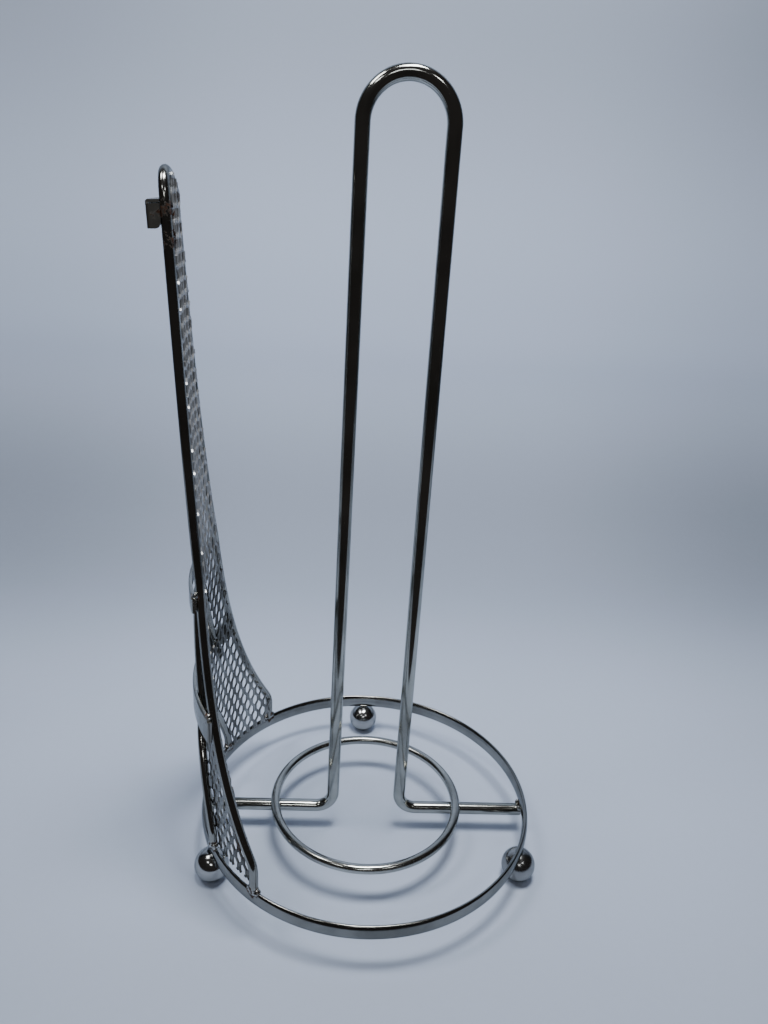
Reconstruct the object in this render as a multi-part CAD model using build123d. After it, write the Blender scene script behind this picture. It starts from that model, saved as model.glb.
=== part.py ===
from build123d import *
import math
import os

# Paper towel holder of welded, chromed wire, in millimetres.
# The origin is on the surface it stands on, on the axis of the roll post. +Z is up, the two arms of
# the post lie along X, and the lattice tower stands on the -X side of the base ring.

# ---- Base ring and feet ----
RING_DIAMETER = 165.0        # outside
RING_WALL = 2.8
RING_HEIGHT = 7.5            # the strip stands on edge
RING_EDGE_ROUND = 1.2
BALL_DIAMETER = 16.2
BALL_REST_RADIUS = 1.5       # small flat that meets the table
BALL_WELD_RADIUS = 1.3       # small flat under the ring
FOOT_ANGLES = {"foot_back": 90.0, "foot_left": 205.3, "foot_right": 337.0}
CONTACT_GAP = 0.02           # between welded pieces that only touch

# ---- Roll post and stop ring ----
POST_WIRE = 6.0
POST_SPACING = 34.0          # leg to leg, centre to centre
POST_HEIGHT = 352.0          # to the top of the loop
POST_BEND_RADIUS = 8.5
ARM_END_INSET = 1.0          # from the ring's outside to the end of an arm
STOP_RING_RADIUS = 46.2      # to the wire's centre
STOP_RING_WIRE = 4.5

# ---- Lattice tower, drawn as if unrolled: s along the ring's curve, z up ----
TOWER_TURN = 2.5             # degrees that the tower's middle is off the arm's line
TOWER_WIRE = 4.0
TOWER_TOP = 312.0            # centre of the wire over the spire
FOOT_HALF = 69.8             # s of an outer foot
SHOULDER_Z = 36.5            # where the flare turns straight down
SPIRE_HALF = 5.5             # s that the flare closes in on
FLARE_FALL = 102.0           # height in which the flare falls to a third
FLARE_POINTS = 9
FLARE_CROWDING = 1.4         # above 1, the bends stand closer where the flare is wide
LEAN_Z = 154.0               # above this the tower leans away from the roll
LEAN_ANGLE = 2.6
LEG_ARCH_HALF = 36.0
LEG_ARCH_STRAIGHT = 6.0      # upright run above each foot
LEG_ARCH_TOP = 73.5
LEG_ARCH_POINTS = 9
WAIST_FOOT_HALF = 29.0
WAIST_FOOT_Z = 85.5
WAIST_TOP_HALF = 7.5
WAIST_TOP_Z = 139.5
WAIST_POINTS = 4
WAIST_CURVE = 1.25           # 1 would be straight legs
BEND_SHARE = 0.45            # how much of the shorter run a bend takes up

# ---- Expanded mesh ----
MESH_THICKNESS = 1.2
MESH_WIRE_GAP = 0.4          # the wires run in short chords that cut inside the curve by less than this
MESH_ACROSS = 6.0            # diamond pitch along s
MESH_UP = 10.6               # diamond pitch along z
MESH_STRAND = 1.5
MESH_BORDER = 0.9            # solid edge left beside a cut
MESH_EDGE_STEPS = 8          # straight runs in a panel's edge
MESH_ARCH_STEPS = 14
MESH_DOME_SHARE = 0.6        # of the spire's half width, cut off at its top corners
MESH_RING_GAP = 0.6
MESH_SEAM_GAP = 0.3          # between two panels, behind a platform

# ---- Platforms: folded strips on the outside of the tower ----
SHEET = 1.0
PLATFORM_RADIUS = 120.0      # bent less than the tower, so the ends stand further out
PLATFORM_CORNER = 2.0
PLATFORMS = {                # bottom, top, and the gap from wires to face at the middle
    "low_platform": (87.5, 99.5, 0.2),
    "middle_platform": (142.5, 150.5, 0.2),
    "top_platform": (292.0, 302.0, 3.8),
}
PLATFORM_OVERHANG = 2.6      # past the outline wire's centre, each side

# ---- Weld beads ----
ARM_BEAD = 2.6
TOWER_BEAD = 2.9
PLATFORM_BEAD = 1.5
BEAD_LEAST = 0.2             # mm3, smaller crumbs of a cut bead are dropped

ball_centre_z = math.sqrt((BALL_DIAMETER / 2) ** 2 - BALL_REST_RADIUS ** 2)
ring_bottom = ball_centre_z + math.sqrt((BALL_DIAMETER / 2) ** 2 - BALL_WELD_RADIUS ** 2) + CONTACT_GAP
ring_top = ring_bottom + RING_HEIGHT
ring_middle_radius = (RING_DIAMETER - RING_WALL) / 2
arm_z = ring_bottom - CONTACT_GAP - POST_WIRE / 2
stop_ring_z = arm_z + POST_WIRE / 2 + CONTACT_GAP + STOP_RING_WIRE / 2
tower_radius = ring_middle_radius
tower_foot_z = ring_top + CONTACT_GAP
mesh_outer = tower_radius - TOWER_WIRE / 2 - MESH_WIRE_GAP
mesh_inner = mesh_outer - MESH_THICKNESS
wire_back = tower_radius + TOWER_WIRE / 2 + CONTACT_GAP
mesh_middle = (mesh_outer + mesh_inner) / 2
seam_low = sum(PLATFORMS["low_platform"][:2]) / 2
seam_high = sum(PLATFORMS["middle_platform"][:2]) / 2


def write(node, *solids):
    shape = solids[0] if len(solids) == 1 else Compound(list(solids))
    export_step(shape, f"parts/{node}.step")
    print(node, len(shape.solids()), "solid(s)", round(shape.volume), "mm3")


def steps(low, high, count):
    return [low + (high - low) * step / count for step in range(count + 1)]


def bend_radii(points):
    """The radius at each inner point that takes BEND_SHARE of the shorter run beside it."""
    radii = []
    for before, here, after in zip(points, points[1:], points[2:]):
        run_in, run_out = here - before, after - here
        half_turn = math.radians(run_in.get_angle(run_out)) / 2
        radii.append(BEND_SHARE * min(run_in.length, run_out.length) / math.tan(half_turn))
    return radii


def bent_wire(points, diameter):
    points = [Vector(*point) for point in points]
    path = FilletPolyline(*points, radius=bend_radii(points))
    return sweep(Plane(origin=path @ 0, z_dir=path % 0) * Circle(diameter / 2), path=path).solid()


# ---- The tower's drawing on the ring's curve ----
def outline_half(z):
    """Half the tower's width at height z, along the curve."""
    flare = FOOT_HALF - SPIRE_HALF
    return SPIRE_HALF + flare * math.exp(-(max(z, SHOULDER_Z) - SHOULDER_Z) / FLARE_FALL)


def leg_arch_z(s):
    """Height of the leg arch at s."""
    spring = tower_foot_z + LEG_ARCH_STRAIGHT
    return spring + (LEG_ARCH_TOP - spring) * (1 - (s / LEG_ARCH_HALF) ** 2)


def waist_gap_half(z):
    """Half the gap between the legs above the low platform."""
    share = (z - WAIST_FOOT_Z) / (WAIST_TOP_Z - WAIST_FOOT_Z)
    return WAIST_TOP_HALF + (WAIST_FOOT_HALF - WAIST_TOP_HALF) * (1 - share) ** WAIST_CURVE


def on_curve(s, radius=tower_radius):
    """X and Y of a point s along the tower's curve, as seen at another radius."""
    angle = s / tower_radius
    return -radius * math.cos(angle), radius * math.sin(angle)


def waist_heights():
    """Heights of the bends in the waist arch, the last of them in its top."""
    return [*steps(WAIST_FOOT_Z, WAIST_TOP_Z - WAIST_TOP_HALF, WAIST_POINTS - 1), WAIST_TOP_Z]


def lean(shape):
    """Tips what stands above LEAN_Z away from the roll."""
    hinge = Axis((-tower_radius, 0, LEAN_Z), (0, -1, 0))
    return shape.rotate(hinge, LEAN_ANGLE)


def turn(shape):
    return shape.rotate(Axis.Z, TOWER_TURN)


def tower_point(s, z):
    x, y = on_curve(s)
    if z <= LEAN_Z:
        return Vector(x, y, z)
    tip = math.radians(LEAN_ANGLE)
    out, up = x + tower_radius, z - LEAN_Z
    return Vector(
        -tower_radius + out * math.cos(tip) - up * math.sin(tip),
        y,
        LEAN_Z + out * math.sin(tip) + up * math.cos(tip),
    )


def mirrored(side):
    """A list of (s, z) points up one side, and down the other."""
    return side + [(-s, z) for s, z in reversed(side)]


def tower_wire(side_points):
    points = [tower_point(s, z) for s, z in mirrored(side_points)]
    return turn(bent_wire(points, TOWER_WIRE))


def flare_heights(low, high, count):
    """Heights that stand closer together where the flare is wide."""
    return [low + (high - low) * (step / count) ** FLARE_CROWDING for step in range(count + 1)]


def make_outline_wire():
    side = [(FOOT_HALF, tower_foot_z)]
    side += [(outline_half(z), z) for z in flare_heights(SHOULDER_Z, TOWER_TOP, FLARE_POINTS)]
    return tower_wire(side)


def make_leg_arch_wire():
    half_count = LEG_ARCH_POINTS // 2
    fractions = [math.cos(math.pi / 2 * step / (half_count + 0.5)) for step in range(half_count + 1)]
    side = [(LEG_ARCH_HALF, tower_foot_z)]
    side += [(LEG_ARCH_HALF * f, leg_arch_z(LEG_ARCH_HALF * f)) for f in fractions]
    return tower_wire(side)


def make_waist_arch_wire():
    return tower_wire([(waist_gap_half(z), z) for z in waist_heights()])


# ---- Mesh panels ----
def curved_panel(outline, diamonds):
    """A piece of curved sheet with the given (s, z) outline and diamond holes."""
    def wire(points):
        drawn = [(-RING_DIAMETER, on_curve(s, mesh_middle)[1], z) for s, z in points]
        return Wire.make_polygon([Vector(*point) for point in drawn], close=True)

    face = Face(wire(outline), [wire(diamond) for diamond in diamonds])
    prism = Solid.extrude(face, Vector(RING_DIAMETER, 0, 0))
    low = min(z for s, z in outline) - 1
    high = max(z for s, z in outline) + 1
    place = Pos(0, 0, (low + high) / 2)
    shell = place * (Cylinder(mesh_outer, high - low) - Cylinder(mesh_inner, high - low))
    return (shell & prism).solid()


def diamonds_inside(low, high, is_sheet):
    """Every diamond of the pattern that lies wholly on the sheet."""
    half_cell = math.hypot(MESH_ACROSS / 2, MESH_UP / 2)
    side_distance = MESH_ACROSS * MESH_UP / 2 / half_cell
    share = 1 - MESH_STRAND / side_distance
    reach_s, reach_z = share * MESH_ACROSS / 2, share * MESH_UP / 2
    kept = []
    for row in range(int(low // (MESH_UP / 2)), int(high // (MESH_UP / 2)) + 2):
        for column in range(-int(FOOT_HALF // MESH_ACROSS) - 1, int(FOOT_HALF // MESH_ACROSS) + 2):
            s = (column + row % 2 / 2) * MESH_ACROSS
            z = row * MESH_UP / 2
            tips = [(s + reach_s, z), (s, z + reach_z), (s - reach_s, z), (s, z - reach_z)]
            spread = [
                (s + reach_s + MESH_BORDER, z),
                (s, z + reach_z + MESH_BORDER),
                (s - reach_s - MESH_BORDER, z),
                (s, z - reach_z - MESH_BORDER),
            ]
            if all(low < tip_z < high and is_sheet(tip_s, tip_z) for tip_s, tip_z in spread):
                kept.append(tips)
    return kept


def make_mesh_legs():
    low, high = ring_top + MESH_RING_GAP, seam_low - MESH_SEAM_GAP / 2
    side = [(outline_half(z), z) for z in [low] + steps(SHOULDER_Z, high, MESH_EDGE_STEPS)]
    arch = [(s, leg_arch_z(s)) for s in steps(-LEG_ARCH_HALF, LEG_ARCH_HALF, MESH_ARCH_STEPS)]
    arch = [(-LEG_ARCH_HALF, low)] + arch + [(LEG_ARCH_HALF, low)]

    def is_sheet(s, z):
        return abs(s) < outline_half(z) and (abs(s) > LEG_ARCH_HALF or z > leg_arch_z(s))

    outline = side + [(-s, z) for s, z in reversed(side)] + arch
    return turn(curved_panel(outline, diamonds_inside(low, high, is_sheet)))


def make_mesh_waist():
    low, high = seam_low + MESH_SEAM_GAP / 2, seam_high - MESH_SEAM_GAP / 2
    gap_foot = PLATFORMS["low_platform"][1] - MESH_BORDER
    side = [(outline_half(z), z) for z in steps(low, high, MESH_EDGE_STEPS)]
    gap_top = WAIST_TOP_Z - TOWER_WIRE - WAIST_TOP_HALF / 2
    gap = [(-waist_gap_half(gap_foot), gap_foot), (-waist_gap_half(gap_top), gap_top)]
    gap += [(-s, z) for s, z in reversed(gap)]

    def is_sheet(s, z):
        return abs(s) < outline_half(z) and not (gap_foot < z < gap_top and abs(s) < waist_gap_half(z))

    outline = side + [(-s, z) for s, z in reversed(side)]
    return turn(curved_panel(outline, [gap] + diamonds_inside(low, high, is_sheet)))


def make_mesh_spire():
    low, high = seam_high + MESH_SEAM_GAP / 2, TOWER_TOP
    dome = outline_half(TOWER_TOP) * MESH_DOME_SHARE
    side = [(outline_half(z), z) for z in steps(low, high - dome, MESH_EDGE_STEPS)]
    side += [(outline_half(TOWER_TOP) - dome / 2, high)]

    def is_sheet(s, z):
        return abs(s) < outline_half(z) and z < TOWER_TOP

    outline = side + [(-s, z) for s, z in reversed(side)]
    return turn(lean(curved_panel(outline, diamonds_inside(low, high, is_sheet))))


# ---- Platforms ----
def upright_disc(x, radius, low, high):
    return Pos(x, 0, (low + high) / 2) * Cylinder(radius, high - low)


def wedge(half_s, low, high):
    """What lies within half_s each side of the tower's middle."""
    angle = half_s / tower_radius
    reach = RING_DIAMETER
    corners = [(0, 0)] + [(-reach * math.cos(a), reach * math.sin(a)) for a in (angle, 0, -angle)]
    return Pos(0, 0, low) * extrude(make_face(Polyline(*corners, close=True)), high - low)


def make_platform(low, high, stand_off):
    """A strip with its top edge and both ends folded in to the wires, and open below."""
    half_s = outline_half((low + high) / 2) + PLATFORM_OVERHANG
    centre = PLATFORM_RADIUS - wire_back - SHEET - stand_off
    block = upright_disc(centre, PLATFORM_RADIUS, low, high) & wedge(half_s, low, high)
    block -= upright_disc(0, wire_back, low, high)
    ends = [edge for edge in block.edges().filter_by(GeomType.LINE) if edge.center().Z < low + CONTACT_GAP]
    block = fillet(ends, PLATFORM_CORNER)
    inside = upright_disc(centre, PLATFORM_RADIUS - SHEET, low - SHEET, high - SHEET)
    return (block - (inside & wedge(half_s - SHEET, low - SHEET, high - SHEET))).solid()


# ---- Weld beads ----
def bead_pieces(place, radius, *neighbours, seam=0):
    """A blob of weld, less the pieces that it joins; seam is the way its surface's seam faces."""
    blob = Pos(*place) * (Rot(0, 0, seam) * Sphere(radius))
    for neighbour in neighbours:
        blob = blob - neighbour
    return [solid for solid in blob.solids() if solid.volume > BEAD_LEAST]


def bead(place, radius, *neighbours, seam=0):
    return max(bead_pieces(place, radius, *neighbours, seam=seam), key=lambda solid: solid.volume)


# ---- Base ----
def make_base_ring():
    section = Pos(ring_middle_radius, 0, ring_bottom + RING_HEIGHT / 2) * (
        Plane.XZ * RectangleRounded(RING_WALL, RING_HEIGHT, RING_EDGE_ROUND)
    )
    return revolve(section, Axis.Z).solid()


def make_foot(angle):
    ball = Sphere(BALL_DIAMETER / 2)
    lower = -ball_centre_z
    upper = ring_bottom - CONTACT_GAP - ball_centre_z
    slab = Pos(0, 0, (lower + upper) / 2) * Box(BALL_DIAMETER * 2, BALL_DIAMETER * 2, upper - lower)
    x = ring_middle_radius * math.cos(math.radians(angle))
    y = ring_middle_radius * math.sin(math.radians(angle))
    return (Pos(x, y, ball_centre_z) * (ball & slab)).solid()


def make_roll_post():
    leg_x = POST_SPACING / 2
    arm_end = RING_DIAMETER / 2 - ARM_END_INSET
    loop_z = POST_HEIGHT - POST_WIRE / 2 - leg_x
    bend = POST_BEND_RADIUS
    left_arm = Line((-arm_end, 0, arm_z), (-leg_x - bend, 0, arm_z))
    left_leg = Line((-leg_x, 0, arm_z + bend), (-leg_x, 0, loop_z))
    left_bend = TangentArc(left_arm @ 1, left_leg @ 0, tangent=(1, 0, 0))
    loop = ThreePointArc((-leg_x, 0, loop_z), (0, 0, loop_z + leg_x), (leg_x, 0, loop_z))
    right_leg = Line((leg_x, 0, loop_z), (leg_x, 0, arm_z + bend))
    right_arm = Line((leg_x + bend, 0, arm_z), (arm_end, 0, arm_z))
    right_bend = TangentArc(right_leg @ 1, right_arm @ 0, tangent=(0, 0, -1))
    path = Wire([left_arm, left_bend, left_leg, loop, right_leg, right_bend, right_arm])
    return sweep(Plane(origin=path @ 0, z_dir=path % 0) * Circle(POST_WIRE / 2), path=path).solid()


def make_stop_ring():
    return (Pos(0, 0, stop_ring_z) * Torus(STOP_RING_RADIUS, STOP_RING_WIRE / 2)).solid()


def main():
    os.makedirs("parts", exist_ok=True)
    ring = make_base_ring()
    post = make_roll_post()
    outline = make_outline_wire()
    leg_arch = make_leg_arch_wire()
    waist_arch = make_waist_arch_wire()
    mesh_legs = make_mesh_legs()
    write("base_ring", ring)
    write("roll_post", post)
    write("roll_stop_ring", make_stop_ring())
    for node, angle in FOOT_ANGLES.items():
        write(node, make_foot(angle))
    write("tower_outline_wire", outline)
    write("tower_leg_arch_wire", leg_arch)
    write("tower_waist_arch_wire", waist_arch)
    write("tower_mesh_legs", mesh_legs)
    write("tower_mesh_waist", make_mesh_waist())
    write("tower_mesh_spire", make_mesh_spire())

    platforms = {node: make_platform(*sizes) for node, sizes in PLATFORMS.items()}
    platforms["top_platform"] = lean(platforms["top_platform"])
    platforms = {node: turn(shape).solid() for node, shape in platforms.items()}
    for node, shape in platforms.items():
        write(node, shape)

    arm_x = ring_middle_radius - RING_WALL / 2
    write("arm_welds", *[
        bead((side * arm_x, 0, ring_bottom), ARM_BEAD, ring, post) for side in (-1, 1)
    ])

    foot_beads = []
    for wire, half in ((outline, FOOT_HALF), (leg_arch, LEG_ARCH_HALF)):
        for side in (-1, 1):
            x, y = on_curve(side * half)
            place = Vector(x, y, tower_foot_z).rotate(Axis.Z, TOWER_TURN)
            foot_beads += bead_pieces(place, TOWER_BEAD, ring, wire, mesh_legs)
    write("tower_foot_welds", *foot_beads)

    platform_beads = []
    top = PLATFORMS["low_platform"][1]
    for side in (-1, 1):
        x, y = on_curve(side * (outline_half(top) + TOWER_WIRE / 4), wire_back)
        place = Vector(x, y, top).rotate(Axis.Z, TOWER_TURN)
        inward = math.degrees(math.atan2(place.Y, place.X)) + 180
        platform_beads.append(bead(place, PLATFORM_BEAD, outline, platforms["low_platform"], seam=inward))
    write("platform_welds", *platform_beads)


main()
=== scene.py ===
# %% [markdown]
# # A paper towel holder of chromed wire
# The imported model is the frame: its nodes give every place and size. The wires, the ring
# and the balls could keep their CAD meshes with a new material, but polished metal shows
# every flat facet in its reflections, so they are remade here with finer surfaces.
# The lattice is rebuilt as expanded metal, strand by strand.

# %% Load the frame
import math
import random

import bmesh
import bpy
from mathutils import Matrix, Vector, noise


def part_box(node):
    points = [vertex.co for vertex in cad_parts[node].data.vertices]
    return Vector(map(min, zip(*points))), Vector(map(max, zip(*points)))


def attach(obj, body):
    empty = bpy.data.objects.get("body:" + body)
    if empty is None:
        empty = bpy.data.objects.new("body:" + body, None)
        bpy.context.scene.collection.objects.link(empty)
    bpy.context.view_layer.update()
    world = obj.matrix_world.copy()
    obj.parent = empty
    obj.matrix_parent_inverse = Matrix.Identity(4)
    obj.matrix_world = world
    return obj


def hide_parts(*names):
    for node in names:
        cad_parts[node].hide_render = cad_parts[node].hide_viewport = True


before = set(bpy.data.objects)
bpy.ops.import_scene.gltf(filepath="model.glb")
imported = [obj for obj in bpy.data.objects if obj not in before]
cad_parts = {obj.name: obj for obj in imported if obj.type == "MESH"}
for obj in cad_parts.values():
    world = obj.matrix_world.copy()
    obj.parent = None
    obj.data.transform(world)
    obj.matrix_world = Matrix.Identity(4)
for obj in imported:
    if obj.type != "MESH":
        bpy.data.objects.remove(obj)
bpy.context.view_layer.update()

MM = 0.001
random.seed(7)

# %% [markdown]
# ## Measures
# A size that is read from a node's box can't drift from the CAD model, so the ring, the
# post, the stop ring and the feet are measured. A box can't tell a wire's bend or the
# tower's turn, so those few sizes are written down. Everything is in metres.

# %% Read the sizes
ring_low, ring_high = map(Vector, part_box("base_ring"))
post_low, post_high = map(Vector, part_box("roll_post"))
stop_low, stop_high = map(Vector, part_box("roll_stop_ring"))
foot_low, foot_high = map(Vector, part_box("foot_back"))

RING_WALL = 2.8 * MM
RING_RADIUS = ring_high.x
POST_WIRE_RADIUS = post_high.y
POST_LEG_X = 17.0 * MM
POST_BEND = 8.5 * MM
STOP_WIRE_RADIUS = (stop_high.z - stop_low.z) / 2
STOP_RADIUS = stop_high.x - STOP_WIRE_RADIUS
BALL_RADIUS = (foot_high.x - foot_low.x) / 2
ARM_Z = post_low.z + POST_WIRE_RADIUS

TOWER_RADIUS = RING_RADIUS - RING_WALL / 2
TOWER_WIRE_RADIUS = 2.0 * MM
TOWER_TURN = math.radians(2.5)
TOWER_FOOT_Z = ring_high.z
TOWER_TOP = 312.0 * MM
LEAN_Z = 154.0 * MM
LEAN_ANGLE = math.radians(2.6)
print("ring radius", RING_RADIUS, "ball radius", BALL_RADIUS, "arm height", ARM_Z)

# %% [markdown]
# ## The tower's drawing
# The tower stands on the ring and follows its curve. It is easiest to draw flat, as if
# the curve were unrolled: s runs along the ring and z runs up. One function then wraps
# any flat point on to the curve, turns it to its place on the ring, and leans the spire.

# %% Outline, arch and gap, drawn flat
FOOT_HALF = 69.8 * MM
SHOULDER_Z = 36.5 * MM
SPIRE_HALF = 5.5 * MM
FLARE_FALL = 102.0 * MM
ARCH_HALF = 36.0 * MM
ARCH_SPRING_Z = TOWER_FOOT_Z + 6.0 * MM
ARCH_TOP = 73.5 * MM
WAIST_FOOT_Z = 85.5 * MM
WAIST_ARC_Z = 132.0 * MM
WAIST_TOP_Z = 139.5 * MM


def outline_half(z):
    """Half the tower's width at height z."""
    return SPIRE_HALF + (FOOT_HALF - SPIRE_HALF) * math.exp(-(max(z, SHOULDER_Z) - SHOULDER_Z) / FLARE_FALL)


def arch_z(s):
    """Height of the arch between the feet."""
    return ARCH_SPRING_Z + (ARCH_TOP - ARCH_SPRING_Z) * (1 - (s / ARCH_HALF) ** 2)


def waist_half(z):
    """Half the gap between the legs above the low platform."""
    share = (z - WAIST_FOOT_Z) / (WAIST_TOP_Z - WAIST_FOOT_Z)
    return 7.5 * MM + 21.5 * MM * max(0.0, 1 - share) ** 1.25


print("half width at the feet and the top:", outline_half(0), outline_half(TOWER_TOP))


# %% Wrap the drawing on to the ring's curve
def on_tower(s, z, out=0.0):
    """A point of the tower's curved face, out metres further from the roll."""
    angle = s / TOWER_RADIUS
    radius = TOWER_RADIUS + out
    point = Vector((-radius * math.cos(angle), radius * math.sin(angle), z))
    if z > LEAN_Z:
        hinge = Vector((-TOWER_RADIUS, 0, LEAN_Z))
        point = Matrix.Rotation(-LEAN_ANGLE, 3, "Y") @ (point - hinge) + hinge
    return Matrix.Rotation(TOWER_TURN, 3, "Z") @ point


print("top of the spire:", on_tower(0, TOWER_TOP))


# %% Lines of close, even points
def stepped(low, high, count):
    """Evenly spaced values from low to high, with both ends."""
    return [low + (high - low) * i / count for i in range(count + 1)]


def relaxed(points, spacing=1.0 * MM, passes=14):
    """The same line with even steps and its corners eased, its ends kept."""
    even, carry = [points[0].copy()], 0.0
    for a, b in zip(points, points[1:]):
        run = (b - a).length
        while carry + spacing <= run:
            carry += spacing
            even.append(a.lerp(b, carry / run))
        carry -= run
    even.append(points[-1].copy())
    for _ in range(passes):
        even = [even[0]] + [(a + 2 * b + c) / 4 for a, b, c in zip(even, even[1:], even[2:])] + [even[-1]]
    return even


def both_sides(side):
    """A line up one side of the tower, and down the other."""
    return side + [Vector((-p.x, p.y)) for p in reversed(side)]


# %% The three wires' lines
dome_half = outline_half(TOWER_TOP)
outline_side = [Vector((FOOT_HALF, TOWER_FOOT_Z)), Vector((FOOT_HALF, SHOULDER_Z))]
flare = stepped(SHOULDER_Z + 2 * MM, TOWER_TOP - dome_half, 90)
outline_side += [Vector((outline_half(z), z)) for z in flare]
outline_side += [
    Vector((dome_half * math.cos(a), TOWER_TOP - dome_half + dome_half * math.sin(a)))
    for a in stepped(0.15, math.pi / 2, 10)
]
arch_side = [Vector((ARCH_HALF, TOWER_FOOT_Z))]
arch_side += [
    Vector((ARCH_HALF * math.cos(a), arch_z(ARCH_HALF * math.cos(a)))) for a in stepped(0, math.pi / 2, 40)
]
waist_side = [Vector((waist_half(z), z)) for z in stepped(WAIST_FOOT_Z, WAIST_ARC_Z, 30)]
waist_arc_half = waist_half(WAIST_ARC_Z)
waist_side += [
    Vector((waist_arc_half * math.cos(a), WAIST_ARC_Z + (WAIST_TOP_Z - WAIST_ARC_Z) * math.sin(a)))
    for a in stepped(0.15, math.pi / 2, 10)
]
tower_lines = {
    "tower_outline": relaxed(both_sides(outline_side)),
    "tower_leg_arch": relaxed(both_sides(arch_side)),
    "tower_waist_arch": relaxed(both_sides(waist_side), passes=8),
}
print({name: len(line) for name, line in tower_lines.items()})

# %% [markdown]
# ## Shaders
# A material could be built node by node with links written out, which soon hides what it
# does. Here a small class wraps a socket, so that a shader reads as a sum, and one
# method, `make`, adds any other node.


# %% The socket class
class Sock:
    """A value in a material's node tree."""

    def __init__(self, tree, socket):
        self.tree, self.socket = tree, socket

    def make(self, kind, inputs, output=0, **settings):
        """Adds a node: its settings first, then its sockets' values or links."""
        node = self.tree.nodes.new(kind)
        for name, value in settings.items():
            setattr(node, name, value)
        for name, value in inputs.items():
            if isinstance(value, Sock):
                self.tree.links.new(value.socket, node.inputs[name])
            else:
                node.inputs[name].default_value = value
        return Sock(self.tree, node.outputs[output])

    def math(self, operation, other=0.0):
        return self.make("ShaderNodeMath", {0: self, 1: other}, operation=operation)

    def __add__(self, other):
        return self.math("ADD", other)

    def __sub__(self, other):
        return self.math("SUBTRACT", other)

    def __rsub__(self, other):
        return self * -1.0 + other

    def __mul__(self, other):
        return self.math("MULTIPLY", other)

    __radd__, __rmul__ = __add__, __mul__

    def __or__(self, other):
        return self.math("MAXIMUM", other)

    def axes(self):
        """The x, y and z of a place."""
        split = self.make("ShaderNodeSeparateXYZ", {0: self}).socket.node
        return [Sock(self.tree, output) for output in split.outputs]

    def between(self, low, high, to_low=0.0, to_high=1.0):
        """A smooth rise from to_low to to_high as this goes from low to high."""
        inputs = {0: self, 1: low, 2: high, 3: to_low, 4: to_high}
        return self.make("ShaderNodeMapRange", inputs, interpolation_type="SMOOTHSTEP")

    def noise(self, scale, detail=3.0, roughness=0.55, stretch=(1, 1, 1)):
        """Noise at this place; scale is in cells per metre."""
        place = self.make("ShaderNodeVectorMath", {0: self, 1: stretch}, operation="MULTIPLY")
        inputs = {"Vector": place, "Scale": scale, "Detail": detail, "Roughness": roughness}
        return self.make("ShaderNodeTexNoise", inputs)

    def near(self, spots):
        """1 at each spot, falling to 0 at its radius. A spot is (point, radius)."""
        total = None
        for point, radius in spots:
            ends = {0: self, 1: tuple(point)}
            distance = self.make("ShaderNodeVectorMath", ends, 1, operation="DISTANCE")
            share = distance.between(radius * 0.25, radius, 1.0, 0.0)
            total = share if total is None else total | share
        return total

    def blend(self, low, high):
        """A colour, low where this is 0 and high where it is 1."""
        inputs = {0: self}
        for slot, colour in ((6, low), (7, high)):
            inputs[slot] = colour if isinstance(colour, Sock) else (*colour, 1.0)
        return self.make("ShaderNodeMix", inputs, 2, data_type="RGBA")


# %% Start a material
def new_material(name):
    """(material, its shader node, a Sock of the object's own coordinates)"""
    material = bpy.data.materials.new(name)
    material.use_nodes = True
    shader = material.node_tree.nodes["Principled BSDF"]
    coords = material.node_tree.nodes.new("ShaderNodeTexCoord")
    return material, shader, Sock(material.node_tree, coords.outputs["Object"])


def feed(shader, **sockets):
    """Links Socks to the shader's inputs, with _ for a space in a name."""
    for name, sock in sockets.items():
        sock.tree.links.new(sock.socket, shader.inputs[name.replace("_", " ")])


# %% [markdown]
# ## Plated steel
# Every part is plated, but not equally worn. A single chrome colour would look new and
# flat. Each finish here mixes a clean and a smeared tone, fine scratches that run along
# the part, pits with dark floors, and rust that gathers at welds, where plating is thin.
# Noise scales are in cells per metre, so 1300 is a scratch about every 0.8 mm.

# %% Plating
SMEARS, SCRATCHES, PITS, RUST_GRAIN, RUST_SPECKS = 38, 1300, 1500, 520, 900
EDGE_TINT = (0.62, 0.64, 0.66)
ALONG_RING = (0.08, 0.08, 1)
RUST_DARK, RUST_LIGHT = (0.030, 0.015, 0.010), (0.120, 0.056, 0.030)
# Painted sheen: the light colour below, rising over the given height, lightens the upper mesh to stand in
# for light on its strands; less metal and more roughness there make that part more matte.
PAINTED_SHEEN_PLATING = (0.56, 0.56, 0.555)
SHEEN_RISE = 60 * MM


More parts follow.
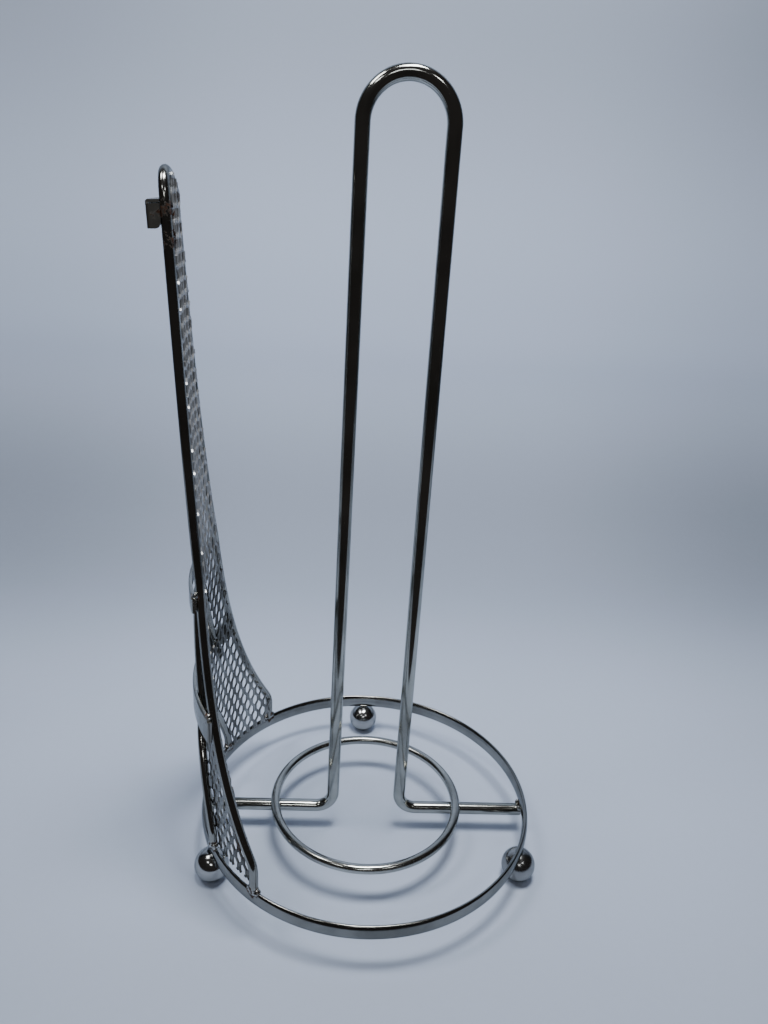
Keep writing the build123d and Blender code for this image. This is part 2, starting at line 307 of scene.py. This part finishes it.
def plated(
    name, dark, light, gloss, smear, rust_spots,
    pit_depth=0.02, pits=0.6, rust_reach=0.5, grain_run=(1, 1, 0.04), sheen_above=None,
):
    """Bright plating: smears of handling, scratches, pits, and rust close to the given spots. Above an
    optional height the colour turns paler, which is painted sheen, and the metal more matte.
    """
    material, shader, place = new_material(name)
    smears = place.noise(SMEARS, 4).between(0.35, 0.7)
    streaks = place.noise(SCRATCHES, 3, stretch=grain_run)
    pit = place.noise(PITS, 4, 0.65).between(pits, pits + 0.08)
    colour = smears.blend(light, dark)
    metal = 1.0 - pit * 0.15
    rough = gloss + smears * smear + streaks * (smear * 0.5) + pit * 0.25
    height = streaks * 0.16 + place.noise(70, 2) * 0.9 - pit * 0.35
    # Painted sheen above the given height: a light colour, with less metal and more roughness.
    if sheen_above:
        painted_sheen = place.axes()[2].between(sheen_above, sheen_above + SHEEN_RISE)
        colour = painted_sheen.blend(colour, PAINTED_SHEEN_PLATING)
        metal = metal - painted_sheen * 0.28
        rough = rough + painted_sheen * 0.08
    colour = pit.blend(colour, tuple(0.35 * c for c in dark))
    if rust_spots:
        grain = place.noise(RUST_GRAIN, 6, 0.7)
        first_rust = 1.10 - rust_reach * 0.2
        rust = (place.near(rust_spots) * 0.5 + grain).between(first_rust, first_rust + 0.10)
        browns = place.noise(RUST_SPECKS, 3).between(0.35, 0.65).blend(RUST_DARK, RUST_LIGHT)
        colour = rust.blend(colour, browns)
        rough = rough + rust * 0.6
        metal = metal - rust * 0.85
        height = height + rust * grain * 1.5
    bump = place.make("ShaderNodeBump", {"Strength": 0.6, "Distance": pit_depth * MM, "Height": height})
    feed(shader, Base_Color=colour, Roughness=rough, Metallic=metal, Normal=bump)
    shader.inputs["Specular Tint"].default_value = (*EDGE_TINT, 1.0)
    return material


# %% Where rust gathers: (place, radius)
SPIRE_RUST = ((-9 * MM, 298 * MM), (-9 * MM, 288 * MM), (9 * MM, 300 * MM))
FOOT_WELDS = (-FOOT_HALF, FOOT_HALF, -ARCH_HALF, ARCH_HALF)
PLATFORM_WELDS = [(side, z) for side in (-1, 1) for z in (99 * MM, 149 * MM, 297 * MM)]
ARM_X, ARM_TOP = RING_RADIUS - 3 * MM, ARM_Z + 3 * MM
spire_spots = [(on_tower(s, z), 9 * MM) for s, z in SPIRE_RUST]
arm_spots = [(Vector((side * ARM_X, 0, ARM_TOP)), 7 * MM) for side in (-1, 1)]
foot_spots = [(on_tower(s, TOWER_FOOT_Z), 8 * MM) for s in FOOT_WELDS]
platform_spots = [(on_tower(side * outline_half(z), z, 3 * MM), 6 * MM) for side, z in PLATFORM_WELDS]
leg_spots = [(on_tower(-62 * MM, 40 * MM), 16 * MM), (on_tower(-52 * MM, 70 * MM), 14 * MM)]

print("rusty places:", len(spire_spots + arm_spots + foot_spots + platform_spots + leg_spots))

# %% The finishes: name, smeared tone, clean tone, gloss, smear, rusty places
looks = {
    "wire": plated(
        "post_plating", (0.27, 0.272, 0.25), (0.43, 0.434, 0.40), 0.08, 0.07,
        arm_spots, pits=0.68,
    ),
    "hoop": plated(
        "hoop_plating", (0.28, 0.28, 0.26), (0.46, 0.462, 0.43), 0.10, 0.08,
        [], grain_run=ALONG_RING,
    ),
    "strip": plated(
        "strip_plating", (0.165, 0.165, 0.155), (0.275, 0.275, 0.26), 0.08, 0.09,
        foot_spots + arm_spots, 0.03, 0.64, 0.9, ALONG_RING,
    ),
    "ball": plated(
        "ball_plating", (0.26, 0.26, 0.255), (0.42, 0.42, 0.41), 0.12, 0.08,
        [], 0.012, pits=0.69,
    ),
    "tower": plated(
        "tower_plating", (0.21, 0.208, 0.19), (0.34, 0.336, 0.31), 0.09, 0.08,
        spire_spots + foot_spots + platform_spots, 0.03, 0.64, 0.9,
    ),
    "sheet": plated(
        "sheet_plating", (0.30, 0.295, 0.27), (0.50, 0.50, 0.47), 0.20, 0.14,
        platform_spots, 0.03, 0.62,
    ),
    # The mesh's lighter colour above 120 mm is painted sheen on the spire.
    "mesh": plated(
        "mesh_plating", (0.13, 0.127, 0.12), (0.33, 0.33, 0.315), 0.27, 0.14,
        leg_spots + platform_spots + spire_spots, 0.05, 0.60, 0.9, sheen_above=120 * MM,
    ),
    "weld": plated(
        "weld_plating", (0.24, 0.235, 0.22), (0.48, 0.475, 0.45), 0.10, 0.12,
        foot_spots + arm_spots + platform_spots, 0.06, 0.62, 0.4,
    ),
}
print("materials:", sorted(looks))

# %% [markdown]
# ## From a bmesh to a piece
# Every piece ends the same way: doubles are merged, faces turned outwards, and shading
# smoothed except over sharp edges. It then rides on the frame's one body, takes its
# finish, and hides the CAD nodes it stands for.


# %% Finish a piece
def finish_piece(bm, name, look, stands_for, smooth_below=40):
    """Turns a bmesh into a piece of the object."""
    bmesh.ops.remove_doubles(bm, verts=bm.verts, dist=1e-6)
    bmesh.ops.recalc_face_normals(bm, faces=bm.faces)
    limit = math.radians(smooth_below)
    for edge in bm.edges:
        edge.smooth = len(edge.link_faces) == 2 and edge.calc_face_angle(0.0) < limit
    for face in bm.faces:
        face.smooth = True
    mesh = bpy.data.meshes.new(name)
    bm.to_mesh(mesh)
    bm.free()
    mesh.materials.append(looks[look])
    piece = bpy.data.objects.new(name, mesh)
    bpy.context.scene.collection.objects.link(piece)
    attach(piece, "root")
    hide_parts(*stands_for)
    print(name, len(mesh.polygons), "faces")


# %% [markdown]
# ## Turned shapes
# The ring, the stop ring and the balls are round about an upright axis. A torus or a
# sphere from the menu has one fixed profile. Spinning a drawn profile gives any, so the
# ring can be a crowned strip and a ball can have its flat rest and its weld neck.


# %% Spin a profile
def lathe(bm, profile, centre=(0, 0), segments=256, closed=True):
    """Turns a profile of (radius, z) about an upright axis."""
    start = [bm.verts.new((r + centre[0], centre[1], z)) for r, z in profile]
    pairs = zip(start, start[1:] + start[:1]) if closed else zip(start, start[1:])
    edges = [bm.edges.new(pair) for pair in pairs]
    bmesh.ops.spin(
        bm, geom=start + edges, cent=(*centre, 0), axis=(0, 0, 1), dvec=(0, 0, 0),
        angle=math.tau, steps=segments, use_merge=True, use_normal_flip=False, use_duplicate=False,
    )


def arc(centre, radius, start, end, count):
    """Points along an arc, for profiles and bends."""
    return [
        Vector((centre[0] + radius * math.cos(a), centre[1] + radius * math.sin(a)))
        for a in stepped(start, end, count)
    ]


# %% [markdown]
# ## Base ring
# The real ring is a flat strip bent on edge, its faces pressed slightly round. A plain
# rectangle would show two flat bands. A profile between an ellipse and a box gives the
# bright line on top, the dark edge under it and the grey face below.

# %% Spin the crowned strip
middle = Vector((RING_RADIUS - RING_WALL / 2, (ring_low.z + ring_high.z) / 2))
half_wall, half_tall = RING_WALL / 2, (ring_high.z - ring_low.z) / 2
CROWN = 0.96  # 1 would be an ellipse, less is flatter on its faces
profile = []
for a in stepped(0, math.tau * 47 / 48, 47):
    across, along = math.cos(a), math.sin(a)
    profile.append(middle + Vector((
        math.copysign(abs(across) ** CROWN, across) * half_wall,
        math.copysign(abs(along) ** CROWN, along) * half_tall,
    )))
bm = bmesh.new()
lathe(bm, profile, segments=320)
finish_piece(bm, "ring_strip", "strip", ["base_ring"])

# %% [markdown]
# ## Ball feet
# Each foot is a steel ball under the ring, with a small flat where it rests and a short
# neck of weld where it meets the ring. The three share one profile, spun about each
# foot's own axis, which is read from its CAD node.

# %% Spin the balls
REST_RADIUS, NECK_RADIUS = 1.5 * MM, 2.2 * MM
ball_z = math.sqrt(BALL_RADIUS ** 2 - REST_RADIUS ** 2)
rest_angle, neck_angle = -math.acos(REST_RADIUS / BALL_RADIUS), math.acos(NECK_RADIUS / BALL_RADIUS)
for node in ("foot_back", "foot_left", "foot_right"):
    low, high = map(Vector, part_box(node))
    centre = (low + high) / 2
    profile = [Vector((0, 0))] + arc((0, ball_z), BALL_RADIUS, rest_angle, neck_angle, 60)
    profile += [Vector((NECK_RADIUS * 0.95, ring_low.z)), Vector((0, ring_low.z))]
    bm = bmesh.new()
    lathe(bm, profile, (centre.x, centre.y), 96, closed=False)
    finish_piece(bm, node + "_ball", "ball", [node])

# %% [markdown]
# ## Stop ring
# A thinner round wire, bent to a hoop and laid on the arms, keeps the roll off the welds.
# It is a full circle of wire, so a small circle is spun round the post's axis.

# %% Spin the hoop
stop_z = (stop_low.z + stop_high.z) / 2
bm = bmesh.new()
lathe(bm, arc((STOP_RADIUS, stop_z), STOP_WIRE_RADIUS, 0, math.tau * 31 / 32, 31))
finish_piece(bm, "stop_hoop", "hoop", ["roll_stop_ring"])

# %% [markdown]
# ## Bent wires
# A bent wire could be a curve with a round bevel. Here its end circle is extruded from
# point to point along its line instead, so that its ends can be broken slightly, as a
# cropped wire's are, and the same extrusion also serves the flat strands and the sheet.


# %% Extrude an outline through its places
def extrude_through(bm, rings):
    """Extrudes the first ring of points to each next ring, and closes both ends."""
    loop = [bm.verts.new(point) for point in rings[0]]
    edges = [bm.edges.new(pair) for pair in zip(loop, loop[1:] + loop[:1])]
    bm.faces.new(loop)
    order = {vert: i for i, vert in enumerate(loop)}
    for ring in rings[1:]:
        made = bmesh.ops.extrude_edge_only(bm, edges=edges)["geom"]
        edges = [part for part in made if isinstance(part, bmesh.types.BMEdge) and part.is_boundary]
        moved = {}
        for vert in (part for part in made if isinstance(part, bmesh.types.BMVert)):
            neighbours = (edge.other_vert(vert) for edge in vert.link_edges)
            moved[vert] = next(order[other] for other in neighbours if other in order)
            vert.co = ring[moved[vert]]
        order = moved
    bm.faces.new(sorted(order, key=order.get))


# %% A round wire
END_BREAK = 0.25  # of the wire's radius, at each cropped end


def tube(bm, path, radius, sides=32):
    """A round wire along a line of close points."""
    tangents = [(b - a).normalized() for a, b in zip([path[0]] + path[:-1], path[1:] + [path[-1]])]
    first, last = tangents[0], tangents[-1]
    edge = END_BREAK * radius
    stations = [(path[0], first, radius - edge), (path[0] + first * edge, first, radius)]
    stations += [(point, tangent, radius) for point, tangent in zip(path[1:-1], tangents[1:-1])]
    stations += [(path[-1] - last * edge, last, radius), (path[-1], last, radius - edge)]
    side = first.orthogonal().normalized()
    turns = [math.tau * i / sides for i in range(sides)]
    rings = []
    for point, tangent, size in stations:
        side = (side - tangent * side.dot(tangent)).normalized()
        up = tangent.cross(side)
        rings.append([point + size * (math.cos(a) * side + math.sin(a) * up) for a in turns])
    extrude_through(bm, rings)


# %% [markdown]
# ## Roll post
# One wire makes both arms, both legs and the loop on top. Half of its line is drawn, from
# the arm's end to the top of the loop, and mirrored, so that both sides are alike.

# %% Arm, bend, leg, loop, leg, bend, arm
loop_z = post_high.z - POST_WIRE_RADIUS - POST_LEG_X
corner = (-POST_LEG_X - POST_BEND, ARM_Z + POST_BEND)
half_post = [Vector((x, ARM_Z)) for x in stepped(post_low.x, corner[0], 30)][:-1]
half_post += arc(corner, POST_BEND, -math.pi / 2, 0, 16)[:-1]
half_post += [Vector((-POST_LEG_X, z)) for z in stepped(corner[1], loop_z, 120)][:-1]
half_post += arc((0, loop_z), POST_LEG_X, math.pi, math.pi / 2, 28)
post_line = half_post + [Vector((-p.x, p.y)) for p in reversed(half_post[:-1])]
bm = bmesh.new()
tube(bm, [Vector((p.x, 0, p.y)) for p in post_line], POST_WIRE_RADIUS, 40)
finish_piece(bm, "post_wire", "wire", ["roll_post"])

# %% [markdown]
# ## Tower wires
# The outline runs from ring to ring over the spire. The leg arch and the waist arch stand
# inside it. All three follow the lines that were drawn flat.

# %% Wrap and sweep the three wires
for name, line in tower_lines.items():
    bm = bmesh.new()
    tube(bm, [on_tower(p.x, p.y) for p in line], TOWER_WIRE_RADIUS, 28)
    finish_piece(bm, name + "_rod", "tower", [name + "_wire"])

# %% [markdown]
# ## Expanded mesh
# A sheet is slit in staggered rows and pulled open. Every strand comes out tilted,
# and strands run side by side at each knuckle. The sheet's edge is cut through the
# pattern, so it ends in open prongs along the wires. A pattern in the material's alpha
# would lose the strands' thickness, which is most of what shows on the steep spire,
# so each strand is a small bar with a six-sided section.

# %% The sheet's limits
CELL_S, CELL_Z = 6.0 * MM, 10.6 * MM
STRAND_WIDTH, STRAND_THICK = 1.65 * MM, 0.8 * MM
STRAND_TILT = math.radians(8)
SHEET_OUT = -2.4 * MM
KNUCKLE = 1.6 * MM
TRIM = 1.2 * MM  # the sheet stops short of the wires' centres
GAP_FOOT_Z = 99 * MM
COLUMNS_EACH_WAY = 13


def on_sheet(s, z):
    """Whether the mesh sheet covers this place."""
    if z < TOWER_FOOT_Z or z > TOWER_TOP - TRIM or abs(s) > outline_half(z) - TRIM:
        return False
    if z > TOWER_TOP - dome_half and math.hypot(s, z - TOWER_TOP + dome_half) > dome_half - TRIM:
        return False
    if abs(s) < ARCH_HALF + TRIM and z < arch_z(min(abs(s), ARCH_HALF)) + TRIM:
        return False
    return not (GAP_FOOT_Z < z < WAIST_TOP_Z and abs(s) < waist_half(z))


print("sheet at the middle of the spire:", on_sheet(0, 250 * MM))


# %% One strand
def strand_line(s, z, side):
    """From one knuckle to the next, side by side with its neighbour at both."""
    near, far = s + side * STRAND_WIDTH * 0.42, s + side * (CELL_S / 2 - STRAND_WIDTH * 0.42)
    line = []
    for share in stepped(0, 1, 12):
        height = z + share * CELL_Z / 2
        run = min(1.0, max(0.0, (share * CELL_Z / 2 - KNUCKLE) / (CELL_Z / 2 - 2 * KNUCKLE)))
        eased = run * run * (3 - 2 * run)
        line.append((near + (far - near) * (0.5 * run + 0.5 * eased), height))
    return line


def strand_rings(line, tilt):
    """A flat bar along part of the sheet, tilted about its own length."""
    thick, wide = STRAND_THICK / 2, STRAND_WIDTH / 2
    cut = thick * 0.8
    section = [(wide, 0), (wide - cut, thick), (cut - wide, thick)]
    section += [(-a, -b) for a, b in section]
    rings = []
    for (s0, z0), (s, z), (s1, z1) in zip([line[0]] + line[:-1], line, line[1:] + [line[-1]]):
        wave = 0.12 * MM * noise.noise(Vector((s, z, 0)) * 90)
        place = on_tower(s, z, SHEET_OUT + wave)
        along = (on_tower(s1, z1, SHEET_OUT) - on_tower(s0, z0, SHEET_OUT)).normalized()
        normal = (on_tower(s, z, 0) - on_tower(s, z, -MM)).normalized()
        across = along.cross(normal).normalized()
        turn = Matrix.Rotation(tilt, 3, along)
        across, normal = turn @ across, turn @ normal
        rings.append([place + across * a + normal * b for a, b in section])
    return rings


def add_strand(bm, rings, scratch):
    """Extrudes one strand by itself, which is quick, and adds it to the sheet."""
    strand = bmesh.new()
    extrude_through(strand, rings)
    strand.to_mesh(scratch)
    strand.free()
    bm.from_mesh(scratch)


# %% Lay the strands
bm = bmesh.new()
scratch = bpy.data.meshes.new("one_strand")
strands = 0
for row in range(int(TOWER_TOP / (CELL_Z / 2)) + 1):
    for column in range(-COLUMNS_EACH_WAY, COLUMNS_EACH_WAY + 1):
        s, z = (column + (row % 2) / 2) * CELL_S, row * CELL_Z / 2
        for side in (-1, 1):
            kept = [point for point in strand_line(s, z, side) if on_sheet(*point)]
            if len(kept) >= 3:
                tilt = STRAND_TILT + random.uniform(-0.09, 0.09)
                add_strand(bm, strand_rings(kept, tilt), scratch)
                strands += 1
bpy.data.meshes.remove(scratch)
print("strands:", strands)
finish_piece(
    bm, "tower_mesh", "mesh",
    ["tower_mesh_legs", "tower_mesh_waist", "tower_mesh_spire"], smooth_below=25,
)

# %% [markdown]
# ## Platforms
# Each is one strip of sheet: a face with its top edge and both ends folded in to the
# wires. The folds are rounded, and a slit is left where the top and the end meet. A
# Solidify modifier on the folded faces would leave spikes in the tight corners, so the sheet's
# closed section is extruded along the strip instead, once for each end and once for the face.

# %% Their sizes
SHEET = 1.0 * MM
FOLD = 1.1 * MM
WIRE_BACK = TOWER_WIRE_RADIUS + 0.05 * MM
FOOT_CORNER, SLIT = 2.0 * MM, 0.5 * MM
END_PAST_WIRE = 1.2 * MM  # how far an end fold stands past its wire's centre
PLATFORMS = {  # lower edge, upper edge, stand-off and radius of the face, in mm
    "low_platform": (87.5, 99.5, 0.2, 88.0),
    "middle_platform": (142.5, 150.5, 0.2, 100.0),
    "top_platform": (292.0, 302.0, 3.8, 100.0),
}


print("platforms:", list(PLATFORMS))


# %% The folded strip's plan and section
def face_out(s, stand_off, radius):
    """How far a platform's face stands out from the wires' centres, at s."""
    centre = radius - TOWER_RADIUS - WIRE_BACK - SHEET - stand_off
    angle = s / TOWER_RADIUS
    along = centre * math.cos(angle)
    reach = -along + math.sqrt(along ** 2 + radius ** 2 - centre ** 2)
    return reach - TOWER_RADIUS


def fold_columns(half, stand_off, radius):
    """(s, out, inward s, inward out, is face) down one end, along the face and up the other end."""
    ends_out = face_out(half - FOLD, stand_off, radius)
    end = [(-half, out, 1, 0, False) for out in stepped(WIRE_BACK, ends_out - FOLD, 6)]
    for a in stepped(0.2, math.pi / 2 - 0.1, 6):
        s, out = -half + FOLD - FOLD * math.cos(a), ends_out - FOLD + FOLD * math.sin(a)
        end.append((s, out, math.cos(a), -math.sin(a), False))
    along = stepped(-half + FOLD, half - FOLD, 60)
    face = [(s, face_out(s, stand_off, radius), 0, -1, True) for s in along]
    return end, face, [(-s, out, -ds, dout, False) for s, out, ds, dout, _ in reversed(end)]


def fold_section(column, low, high):
    """The closed outline (inward, z) of the sheet at a column."""
    out, is_face = column[1], column[4]
    if not is_face:
        rise = max(0.0, FOOT_CORNER - (out - WIRE_BACK))
        bottom = low + FOOT_CORNER - math.sqrt(FOOT_CORNER ** 2 - rise ** 2)
        top = high - SHEET - SLIT
        return [(0, z) for z in stepped(bottom, top, 6)] + [(SHEET, z) for z in stepped(top, bottom, 6)]
    reach = max(out - WIRE_BACK, FOLD + 0.3 * MM)
    skin = [(0, z) for z in stepped(low, high - FOLD, 6)]
    skin += [tuple(point) for point in arc((FOLD, high - FOLD), FOLD, math.pi - 0.3, math.pi / 2, 4)]
    skin += [(reach, high), (reach, high - SHEET)]
    skin += [(FOLD + 0.1 * MM, high - SHEET), (SHEET, high - FOLD - 0.1 * MM)]
    return skin + [(SHEET, z) for z in stepped(high - FOLD - 0.5 * MM, low, 5)]


# %% Fold the platforms
for node, sizes in PLATFORMS.items():
    low, high, stand_off, radius = (size * MM for size in sizes)
    half = outline_half((low + high) / 2) + END_PAST_WIRE
    bm = bmesh.new()
    for columns in fold_columns(half, stand_off, radius):
        rings = []
        for column in columns:
            s, out, ds, dout, _ = column
            section = fold_section(column, low, high)
            rings.append([on_tower(s + ds * d, z, out + dout * d) for d, z in section])
        extrude_through(bm, rings)
    finish_piece(bm, node + "_fold", "sheet", [node], smooth_below=35)

# %% [markdown]
# ## Welds
# A weld is a lumpy bead, longer along its joint, with small ripples in its skin. A
# plain squashed ball would look pressed on, so each bead is an icosphere whose points
# move with noise, and each has its own seed.


# %% One bead
def bead(bm, place, size, along=(0, 0, 1), seed=0.0):
    """A lump of weld: size is (across, across, along) in metres."""
    turn = Vector(along).to_track_quat("Z", "Y").to_matrix()
    lump = bmesh.ops.create_icosphere(bm, subdivisions=4, radius=1.0)["verts"]
    for vert in lump:
        point = vert.co.copy()
        swell = 1 + 0.16 * noise.noise(point * 1.6 + Vector((seed, 0, 0))) + 0.05 * noise.noise(point * 5)
        ripple = 0.03 * math.sin(point.z * 14 + seed)
        vert.co = Vector(place) + turn @ Vector([c * d * (swell + ripple) for c, d in zip(point, size)])


# %% Where the arms meet the ring
ARM_BEAD = (1.5 * MM, 1.1 * MM, 1.4 * MM)
arm_bead_x = RING_RADIUS - RING_WALL + 0.4 * MM
bm = bmesh.new()
for side in (-1, 1):
    for flank in (-1, 1):
        place = (side * arm_bead_x, flank * 2.3 * MM, ring_low.z - 0.2 * MM)
        bead(bm, place, ARM_BEAD, seed=side + 3 * flank)
finish_piece(bm, "arm_beads", "weld", ["arm_welds"])

# %% Where the tower's wires meet the ring
FOOT_BEAD = (2.1 * MM, 2.1 * MM, 3.4 * MM)
bm = bmesh.new()
for half in (FOOT_HALF, ARCH_HALF):
    for side in (-1, 1):
        place = on_tower(side * half, TOWER_FOOT_Z + 0.3 * MM)
        tangent = on_tower(side * half + MM, 0) - on_tower(side * half, 0)
        bead(bm, place, FOOT_BEAD, tangent, seed=side * half * 900)
finish_piece(bm, "tower_foot_beads", "weld", ["tower_foot_welds"])

# %% Where the low and middle platforms' ends meet the outline
PLATFORM_BEAD = (1.2 * MM, 1.1 * MM, 1.5 * MM)
bm = bmesh.new()
for node in ("low_platform", "middle_platform"):
    z = PLATFORMS[node][1] * MM
    for side in (-1, 1):
        s = side * (outline_half(z) + 0.8 * MM)
        bead(bm, on_tower(s, z - 0.3 * MM, 2.2 * MM), PLATFORM_BEAD, seed=side + z * 300)
finish_piece(bm, "platform_beads", "weld", ["platform_welds"])

# %% [markdown]
# ## Stage
# Polished wire has no colour of its own to show: it shows the room. A pale sweep, a floor
# that curves up into a wall, gives its pale rims, with pale sides. The side behind the
# camera is left dark, so the wires get dark middles between the rims.

# %% Paper
# The paper's colour carries painted light and shade; PAPER_RANGE is the most that the painted light lifts
# it above PAPER.
PAPER, PAPER_RANGE = (0.530, 0.600, 0.735), 1.6


def paper():
    """Pale paper with painted light and shade: the floor dims towards the front and the back, the wall has
    a painted pool of light at mid height with painted shade below and above it, and painted shade darkens
    both sides.
    It is clear from behind, so that the object can be seen from every side."""
    material, shader, place = new_material("sweep_paper")
    x, y, z = place.axes()
    # Painted light and shade: brighter on the floor near the object and on the wall at mid height; painted
    # shade on the floor's front and back, at the wall's foot and top, and towards both sides; then a faint
    # mottle of the paper itself.
    painted_light_and_mottle = y.between(-0.13, 0.03, 0.82, 1.0) - y.between(0.10, 0.32, 0.0, 0.30)
    painted_light_and_mottle = painted_light_and_mottle + z.between(0.03, 0.20, 0.0, 0.76) - z.between(0.24, 0.46, 0.0, 0.60)
    painted_light_and_mottle = painted_light_and_mottle - (x - 0.04).math("ABSOLUTE").between(0.10, 0.34, 0.0, 0.17)
    painted_light_and_mottle = painted_light_and_mottle + place.noise(3.0, 3) * 0.05 + place.noise(260, 3) * 0.03
    brightest = tuple(PAPER_RANGE * c for c in PAPER)
    feed(shader, Base_Color=(painted_light_and_mottle * (1 / PAPER_RANGE)).blend((0.0, 0.0, 0.0), brightest))
    shader.inputs["Roughness"].default_value = 0.75
    shader.inputs["Specular IOR Level"].default_value = 0.25
    behind = place.make("ShaderNodeNewGeometry", {}, "Backfacing")
    clear = place.make("ShaderNodeBsdfTransparent", {})
    surface = Sock(place.tree, shader.outputs[0])
    both = behind.make("ShaderNodeMixShader", {0: behind, 1: surface, 2: clear})
    output = place.tree.nodes["Material Output"]
    place.tree.links.new(both.socket, output.inputs["Surface"])
    return material


# %% Sweep: its side view is extruded across, and two side walls stand by it
WALL_Y, SWEEP_CURVE, WALL_TOP = 0.40, 0.16, 1.5
SWEEP_HALF, FRONT_Y = 1.6, -0.138
SIDE_X, SIDE_FRONT_Y, SIDE_TOP = 0.75, -0.28, 1.1

curve_y = WALL_Y - SWEEP_CURVE
profile = [(y, 0.0) for y in stepped(FRONT_Y, curve_y, 12)]
profile += arc((curve_y, SWEEP_CURVE), SWEEP_CURVE, 0.1 - math.pi / 2, 0.0, 20)
profile += [(WALL_Y, z) for z in stepped(SWEEP_CURVE + 0.05, WALL_TOP, 8)]
bm = bmesh.new()
line = [bm.verts.new((-SWEEP_HALF, y, z)) for y, z in profile]
edges = [bm.edges.new(pair) for pair in zip(line, line[1:])]
made = bmesh.ops.extrude_edge_only(bm, edges=edges)["geom"]
moved = [part for part in made if isinstance(part, bmesh.types.BMVert)]
bmesh.ops.translate(bm, verts=moved, vec=(2 * SWEEP_HALF, 0, 0))
for face in bm.faces:
    face.smooth = True
for side in (-1, 1):
    x = side * SIDE_X
    corners = [(x, SIDE_FRONT_Y, 0), (x, WALL_Y, 0), (x, WALL_Y, SIDE_TOP), (x, SIDE_FRONT_Y, SIDE_TOP)]
    bm.faces.new([bm.verts.new(corner) for corner in corners[::side]])
bm.normal_update()
bm.faces.ensure_lookup_table()
print("the floor and the sides face:", [tuple(map(round, bm.faces[i].normal)) for i in (0, -2, -1)])
mesh = bpy.data.meshes.new("sweep")
bm.to_mesh(mesh)
bm.free()
mesh.materials.append(paper())
sweep = bpy.data.objects.new("sweep", mesh)
bpy.context.scene.collection.objects.link(sweep)

# %% [markdown]
# ## Light
# The room itself gives almost nothing. A wide panel overhead makes the soft shadows under
# the ring and the arms, and a weaker one fills from the left. Three small panels in front
# are aimed at the loop, which bends through every angle and shows them as short glints.

# %% Room and panels
ROOM_COLOUR, ROOM_STRENGTH = (0.44, 0.40, 0.40, 1), 0.07
world = bpy.data.worlds.new("room")
world.use_nodes = True
background = world.node_tree.nodes["Background"]
background.inputs["Color"].default_value = ROOM_COLOUR
background.inputs["Strength"].default_value = ROOM_STRENGTH
bpy.context.scene.world = world


def area_light(name, place, target, size, power, colour=(0.95, 0.97, 1.0)):
    """A soft panel; size is in metres and power in watts."""
    lamp = bpy.data.lights.new(name, "AREA")
    lamp.shape, lamp.size, lamp.size_y = "RECTANGLE", *size
    lamp.energy, lamp.color = power, colour
    light = bpy.data.objects.new(name, lamp)
    light.location = place
    light.rotation_euler = (Vector(target) - Vector(place)).to_track_quat("-Z", "Y").to_euler()
    bpy.context.scene.collection.objects.link(light)


LOOP_TOP = (0.0, 0.0, post_high.z)
area_light("top_panel", (0.05, -0.06, 1.05), (0.0, 0.0, 0.0), (0.34, 0.22), 8.2, (0.93, 0.96, 1.0))
area_light("left_panel", (-0.45, -0.05, 0.95), (0.0, 0.0, 0.1), (0.25, 0.25), 2.5)
area_light("front_panel", (0.0, -1.16, 0.93), LOOP_TOP, (0.31, 0.10), 1.0)
for side in (-1, 1):
    area_light("front_side_panel", (side * 0.55, -0.88, 1.13), LOOP_TOP, (0.20, 0.10), 0.7)
print("panels:", [lamp.name for lamp in bpy.data.lights if "panel" in lamp.name])

# %% [markdown]
# ## Camera
# The view is from a little above the post's middle, turned down on to the base, close
# enough for a strong perspective, and rolled a few degrees as a hand-held one is. Its
# three axes are worked out from yaw, pitch and roll, and put in one matrix.

# %% Place the camera
EYE = Vector((-0.0195, -0.3246, 0.3129))
YAW, PITCH, ROLL = math.radians(3.43), math.radians(22.5), math.radians(3.67)
forward = Vector((math.sin(YAW) * math.cos(PITCH), math.cos(YAW) * math.cos(PITCH), -math.sin(PITCH)))
right = Vector((math.cos(YAW), -math.sin(YAW), 0))
up = right.cross(forward)
rolled_right = right * math.cos(ROLL) + up * math.sin(ROLL)
rolled_up = up * math.cos(ROLL) - right * math.sin(ROLL)
camera_data = bpy.data.cameras.new("camera")
camera_data.lens, camera_data.sensor_width, camera_data.clip_start = 28.16, 36.0, 0.01
camera = bpy.data.objects.new("camera", camera_data)
turn = Matrix((rolled_right, rolled_up, -forward)).transposed().to_4x4()
camera.matrix_world = Matrix.Translation(EYE) @ turn
bpy.context.scene.collection.objects.link(camera)
bpy.context.scene.camera = camera
print("camera at", EYE)
